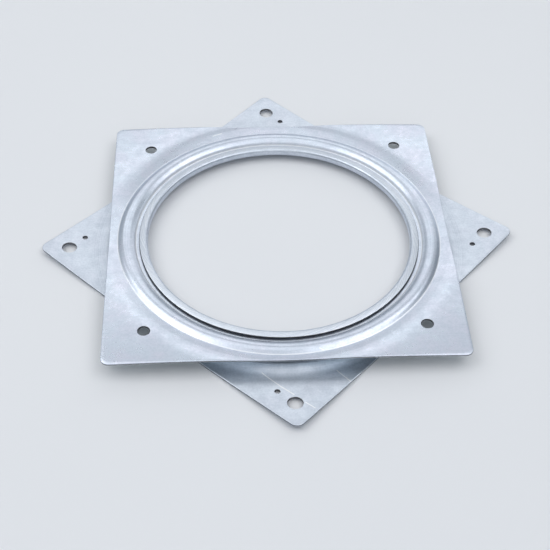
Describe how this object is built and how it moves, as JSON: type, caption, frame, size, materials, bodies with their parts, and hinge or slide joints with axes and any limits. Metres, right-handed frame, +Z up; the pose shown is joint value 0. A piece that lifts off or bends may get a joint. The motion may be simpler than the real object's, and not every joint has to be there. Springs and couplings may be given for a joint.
{
  "type": "lazy susan bearing",
  "caption": "Square turntable bearing: two pressed zinc-coated steel plates turn on loose balls, held together by a rim curled through the centre opening.",
  "frame": {"origin": "on the turning axis, on the surface that the lower plate lies on", "axes": "+Z up along the turning axis; +X and +Y square to the upper plate's edges at rest"},
  "size_m": [0.2092, 0.2092, 0.008],
  "materials": {
    "zinc_sheet": "satin zinc coating with faint mottling and fine tool marks",
    "ball_steel": "polished bearing steel"
  },
  "bodies": {
    "lower": {"lower_plate": "zinc_sheet"},
    "upper": {"upper_plate": "zinc_sheet"},
    "ball_ring": {"bearing_balls": "ball_steel"}
  },
  "joints": [
    {"name": "upper_spin", "type": "hinge", "parent": "lower", "child": "upper", "pos_m": [0, 0, 0.004], "axis": [0, 0, 1], "continuous": true},
    {"name": "ball_orbit", "type": "hinge", "parent": "lower", "child": "ball_ring", "pos_m": [0, 0, 0.004], "axis": [0, 0, 1], "continuous": true}
  ],
  "couplings": [
    {"joint": "ball_orbit", "follows": "upper_spin", "ratio": 0.5}
  ]
}
